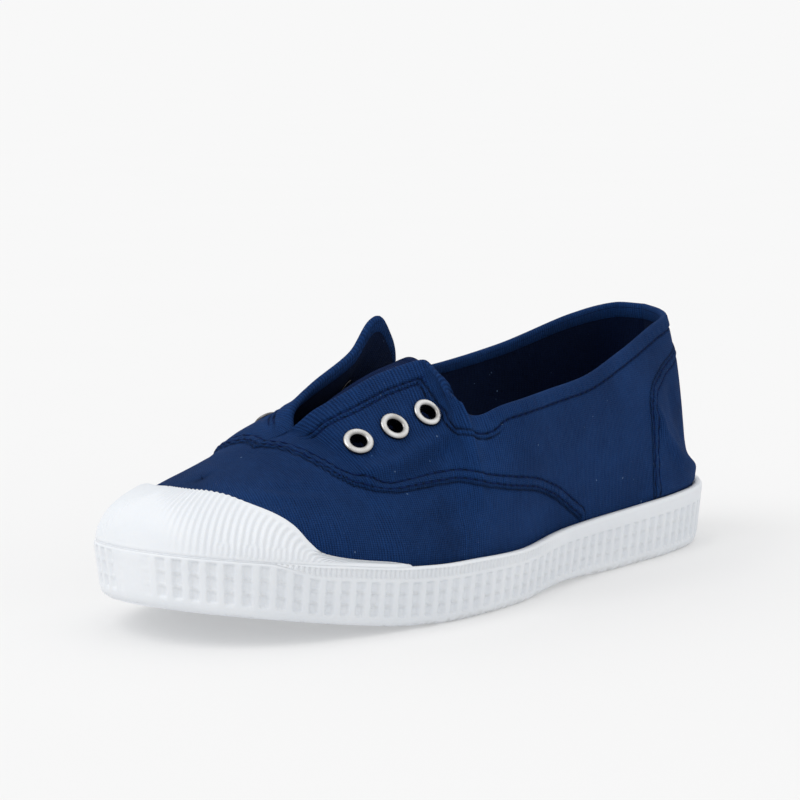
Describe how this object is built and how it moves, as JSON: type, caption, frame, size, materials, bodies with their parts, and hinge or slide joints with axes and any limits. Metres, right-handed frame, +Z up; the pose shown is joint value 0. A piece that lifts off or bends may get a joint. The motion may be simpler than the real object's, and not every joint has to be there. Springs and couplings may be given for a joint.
{
  "type": "canvas sneaker",
  "caption": "Low laceless canvas sneaker, left shoe, with a ribbed rubber sole side, a rubber toe cap, and two flaps with eyelets over a gusset.",
  "frame": {"origin": "bottom centre of the bounding box, on the floor under the sole", "axes": "+X from the heel to the toe, +Y to the wearer's left, which is the outer side of this left shoe, +Z up"},
  "size_m": [0.2496, 0.0902, 0.0807],
  "materials": {
    "rubber": "satin white vulcanised rubber",
    "canvas": "matte navy cotton canvas",
    "gusset": "matte dark navy elastic",
    "insole": "matte dark navy textile",
    "eyelet": "nickel plated, satin"
  },
  "bodies": {
    "root": {"sole": "rubber", "toe_cap": "rubber", "upper": "canvas", "gusset": "gusset", "insole": "insole", "eyelet_left_1": "eyelet", "eyelet_left_2": "eyelet", "eyelet_left_3": "eyelet", "eyelet_right_1": "eyelet", "eyelet_right_2": "eyelet", "eyelet_right_3": "eyelet"}
  },
  "joints": []
}
